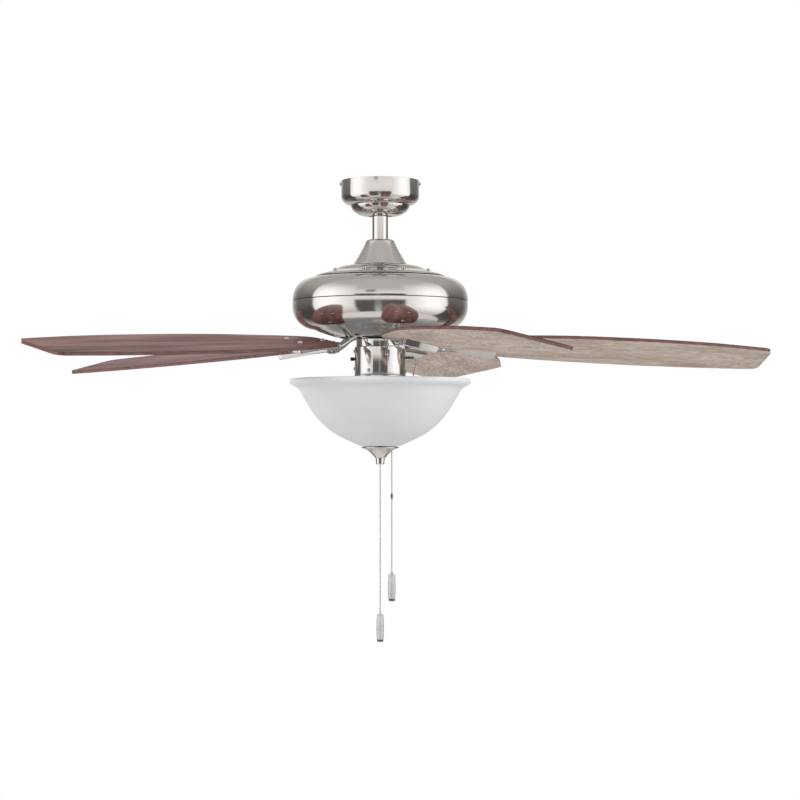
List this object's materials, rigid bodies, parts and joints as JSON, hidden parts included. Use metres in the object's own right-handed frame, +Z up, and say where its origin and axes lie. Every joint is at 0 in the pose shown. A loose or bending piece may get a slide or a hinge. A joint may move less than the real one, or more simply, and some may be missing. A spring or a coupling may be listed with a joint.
{
  "type": "ceiling fan with light",
  "caption": "Ceiling fan with a nickel motor housing, pitched wood blades, a frosted glass bowl light and two pull chains.",
  "frame": {"origin": "centre of the hanger bracket's top face, in the plane of the ceiling", "axes": "+Z up into the ceiling, along the rod and the motor shaft; +X to the right of someone who faces the fan, the side of the fan's pull-chain nozzle; +Y away from them"},
  "size_m": [1.2265, 1.2744, 0.7816],
  "materials": {
    "nickel": "brushed nickel plate, polished",
    "zinc_steel": "zinc-plated steel",
    "cast_metal": "rough cast",
    "lamination": "varnished laminations and copper windings",
    "blade_wood": "dark cherry face above, weathered oak face below",
    "frosted_glass": "white frosted",
    "bulb_glass": "soft white coating",
    "black_plastic": "satin",
    "white_plastic": "gloss",
    "seal_rubber": "matte"
  },
  "bodies": {
    "ceiling_side": {"hanger_bracket": "zinc_steel", "canopy": "nickel", "canopy_screw_left": "nickel", "canopy_screw_right": "nickel"},
    "suspended": {"hanger_ball": "black_plastic", "ball_pin": "zinc_steel", "downrod": "nickel", "coupling_cover": "nickel", "motor_adaptor": "cast_metal", "adaptor_pin": "zinc_steel", "supply_cable": "black_plastic", "stator_shaft": "zinc_steel", "upper_bearing": "zinc_steel", "lower_bearing": "zinc_steel", "stator": "lamination", "top_plate": "nickel", "upper_housing": "nickel", "lower_housing": "nickel", "mounting_collar": "nickel", "shaft_nut": "zinc_steel", "switch_housing": "nickel", "reverse_switch_body": "black_plastic", "fan_pull_switch": "black_plastic", "capacitor": "black_plastic", "light_fitter": "nickel", "light_pull_switch": "black_plastic", "rod_nut": "zinc_steel", "center_rod": "zinc_steel", "lamp_holder_1": "white_plastic", "lamp_holder_2": "white_plastic", "bulb_1": "bulb_glass", "bulb_2": "bulb_glass", "glass_bowl": "frosted_glass", "glass_washer": "seal_rubber", "finial_cap": "nickel", "finial_knob": "nickel", "fan_chain_inner": "nickel"},
    "rotor": {"rotor_upper": "cast_metal", "rotor_lower": "cast_metal", "blade_iron_1": "nickel", "blade_iron_2": "nickel", "blade_iron_3": "nickel", "blade_iron_4": "nickel", "blade_iron_5": "nickel", "blade_1": "blade_wood", "blade_2": "blade_wood", "blade_3": "blade_wood", "blade_4": "blade_wood", "blade_5": "blade_wood"},
    "reverse_knob": {"reverse_switch_knob": "black_plastic"},
    "fan_pull": {"fan_chain_upper": "nickel"},
    "fan_swing": {"fan_chain_coupling": "nickel", "fan_chain_lower": "nickel"},
    "fan_handle": {"fan_fob": "nickel"},
    "light_pull": {"light_chain_upper": "nickel"},
    "light_swing": {"light_chain_coupling": "nickel", "light_chain_lower": "nickel"},
    "light_handle": {"light_fob": "nickel"}
  },
  "joints": [
    {"name": "ball_tilt", "type": "hinge", "parent": "ceiling_side", "child": "suspended", "pos_m": [0, 0, -0.0224], "axis": [0, 1, 0], "range_deg": [-5, 5]},
    {"name": "rotor_spin", "type": "hinge", "parent": "suspended", "child": "rotor", "pos_m": [0, 0, -0.22], "axis": [0, 0, 1], "continuous": true},
    {"name": "reverse_slide", "type": "slide", "parent": "suspended", "child": "reverse_knob", "axis": [0, 0, 1], "range_m": [-0.006, 0]},
    {"name": "fan_pull_slide", "type": "slide", "parent": "suspended", "child": "fan_pull", "axis": [0, 0, -1], "range_m": [0, 0.006], "stiffness_N_per_m": 300, "springref_m": -0.002},
    {"name": "fan_chain_swing", "type": "hinge", "parent": "fan_pull", "child": "fan_swing", "pos_m": [0.0196, 0, -0.5345], "axis": [1, 0, 0], "range_deg": [-30, 30]},
    {"name": "fan_fob_swing", "type": "hinge", "parent": "fan_swing", "child": "fan_handle", "pos_m": [0.0196, 0, -0.6644], "axis": [0, 1, 0], "range_deg": [-30, 12]},
    {"name": "light_pull_slide", "type": "slide", "parent": "suspended", "child": "light_pull", "axis": [0, 0, -1], "range_m": [0, 0.01], "stiffness_N_per_m": 300, "springref_m": -0.002},
    {"name": "light_chain_swing", "type": "hinge", "parent": "light_pull", "child": "light_swing", "pos_m": [0, 0, -0.6], "axis": [1, 0, 0], "range_deg": [-30, 30]},
    {"name": "light_fob_swing", "type": "hinge", "parent": "light_swing", "child": "light_handle", "pos_m": [0, 0, -0.7334], "axis": [0, 1, 0], "range_deg": [-30, 30]}
  ]
}
